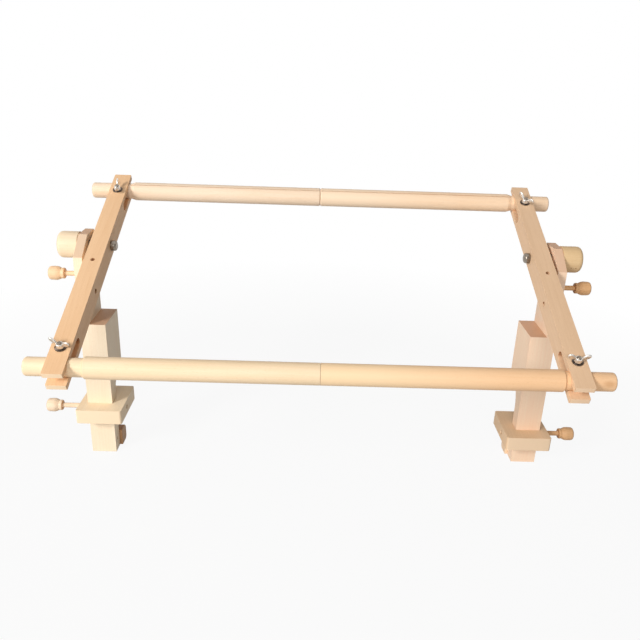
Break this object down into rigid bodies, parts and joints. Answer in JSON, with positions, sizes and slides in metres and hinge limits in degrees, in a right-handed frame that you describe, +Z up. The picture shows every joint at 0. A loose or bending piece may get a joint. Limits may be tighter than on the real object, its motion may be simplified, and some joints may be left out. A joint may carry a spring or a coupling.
{
  "type": "embroidery frame",
  "caption": "Tilting wooden embroidery frame: roller rods held in slotted side bars, on uprights that clamp to a table edge.",
  "frame": {"origin": "on the ground under the middle of the bounding box, with the uprights standing on their feet", "axes": "+X along the rods to the stitcher's right, +Y away from the stitcher, +Z up"},
  "size_m": [0.7036, 0.3356, 0.3447],
  "materials": {
    "beech_board": "fine-sanded, unvarnished",
    "turned_rod": "turned and sanded",
    "turned_knob": "turned and sanded",
    "nickel_plate": "bright nickel plate",
    "brass_insert": "machined"
  },
  "bodies": {
    "stand_left": {"upright_left": "beech_board", "lower_jaw_left": "beech_board", "jaw_pin_left": "nickel_plate"},
    "stand_right": {"upright_right": "beech_board", "lower_jaw_right": "beech_board", "jaw_pin_right": "nickel_plate"},
    "frame": {"side_bar_left": "beech_board", "side_bar_right": "beech_board", "pivot_bolt_left": "nickel_plate", "pivot_bolt_right": "nickel_plate", "pivot_washer_left": "nickel_plate", "pivot_washer_right": "nickel_plate", "clamp_bolt_left_front": "nickel_plate", "clamp_bolt_left_back": "nickel_plate", "clamp_bolt_right_front": "nickel_plate", "clamp_bolt_right_back": "nickel_plate", "clamp_washer_left_front": "nickel_plate", "clamp_washer_left_back": "nickel_plate", "clamp_washer_right_front": "nickel_plate", "clamp_washer_right_back": "nickel_plate"},
    "front_rod": {"front_rod_left": "turned_rod", "front_rod_right": "turned_rod", "front_rod_dowel": "turned_rod"},
    "back_rod": {"back_rod_left": "turned_rod", "back_rod_right": "turned_rod", "back_rod_dowel": "turned_rod"},
    "big_knob_left_body": {"big_knob_left": "turned_knob", "knob_insert_left": "brass_insert"},
    "big_knob_right_body": {"big_knob_right": "turned_knob", "knob_insert_right": "brass_insert"},
    "wing_nut_left_front_body": {"wing_nut_left_front": "nickel_plate"},
    "wing_nut_left_back_body": {"wing_nut_left_back": "nickel_plate"},
    "wing_nut_right_front_body": {"wing_nut_right_front": "nickel_plate"},
    "wing_nut_right_back_body": {"wing_nut_right_back": "nickel_plate"},
    "upper_screw_left_body": {"upper_screw_left": "turned_knob"},
    "upper_screw_right_body": {"upper_screw_right": "turned_knob"},
    "clamp_plate_left_body": {"clamp_plate_left": "beech_board"},
    "clamp_plate_right_body": {"clamp_plate_right": "beech_board"},
    "lower_screw_left_body": {"lower_screw_left": "turned_knob"},
    "lower_screw_right_body": {"lower_screw_right": "turned_knob"}
  },
  "joints": [
    {"name": "frame_tilt", "type": "hinge", "parent": "stand_left", "child": "frame", "pos_m": [-0.2893, 0.03806, 0.278], "axis": [1, 0, 0], "range_deg": [-83.5, 36.5]},
    {"name": "right_stand_swing", "type": "hinge", "parent": "frame", "child": "stand_right", "pos_m": [0.2965, 0.03806, 0.278], "axis": [1, 0, 0], "range_deg": [-36.5, 83.5]},
    {"name": "front_rod_turn", "type": "hinge", "parent": "frame", "child": "front_rod", "pos_m": [0.0036, -0.14444, 0.19865], "axis": [1, 0, 0], "continuous": true},
    {"name": "back_rod_turn", "type": "hinge", "parent": "frame", "child": "back_rod", "pos_m": [0.0036, 0.14444, 0.32426], "axis": [1, 0, 0], "continuous": true},
    {"name": "big_knob_left_turn", "type": "hinge", "parent": "frame", "child": "big_knob_left_body", "pos_m": [-0.3116, 0.03806, 0.278], "axis": [1, 0, 0], "continuous": true},
    {"name": "big_knob_right_turn", "type": "hinge", "parent": "frame", "child": "big_knob_right_body", "pos_m": [0.3188, 0.03806, 0.278], "axis": [1, 0, 0], "continuous": true},
    {"name": "wing_nut_left_front_turn", "type": "hinge", "parent": "frame", "child": "wing_nut_left_front_body", "pos_m": [-0.2694, -0.13638, 0.22025], "axis": [0, -0.3987, 0.9171], "continuous": true},
    {"name": "wing_nut_left_back_turn", "type": "hinge", "parent": "frame", "child": "wing_nut_left_back_body", "pos_m": [-0.2694, 0.12315, 0.3331], "axis": [0, -0.3987, 0.9171], "continuous": true},
    {"name": "wing_nut_right_front_turn", "type": "hinge", "parent": "frame", "child": "wing_nut_right_front_body", "pos_m": [0.2766, -0.13638, 0.22025], "axis": [0, -0.3987, 0.9171], "continuous": true},
    {"name": "wing_nut_right_back_turn", "type": "hinge", "parent": "frame", "child": "wing_nut_right_back_body", "pos_m": [0.2766, 0.12315, 0.3331], "axis": [0, -0.3987, 0.9171], "continuous": true},
    {"name": "upper_screw_left_turn", "type": "hinge", "parent": "stand_left", "child": "upper_screw_left_body", "pos_m": [-0.3328, 0.03806, 0.24], "axis": [1, 0, 0], "continuous": true},
    {"name": "upper_screw_right_turn", "type": "hinge", "parent": "stand_right", "child": "upper_screw_right_body", "pos_m": [0.34, 0.03806, 0.24], "axis": [1, 0, 0], "continuous": true},
    {"name": "clamp_plate_left_slide", "type": "slide", "parent": "stand_left", "child": "clamp_plate_left_body", "axis": [0, 0, 1], "range_m": [-0.031, 0]},
    {"name": "clamp_plate_right_slide", "type": "slide", "parent": "stand_right", "child": "clamp_plate_right_body", "axis": [0, 0, 1], "range_m": [-0.007, 0.024]},
    {"name": "lower_screw_left_turn", "type": "hinge", "parent": "clamp_plate_left_body", "child": "lower_screw_left_body", "pos_m": [-0.3425, 0.01206, 0.0646], "axis": [1, 0, 0], "continuous": true},
    {"name": "lower_screw_right_turn", "type": "hinge", "parent": "clamp_plate_right_body", "child": "lower_screw_right_body", "pos_m": [0.3389, 0.01206, 0.0406], "axis": [1, 0, 0], "continuous": true}
  ],
  "couplings": [
    {"joint": "right_stand_swing", "follows": "frame_tilt", "ratio": -1}
  ]
}
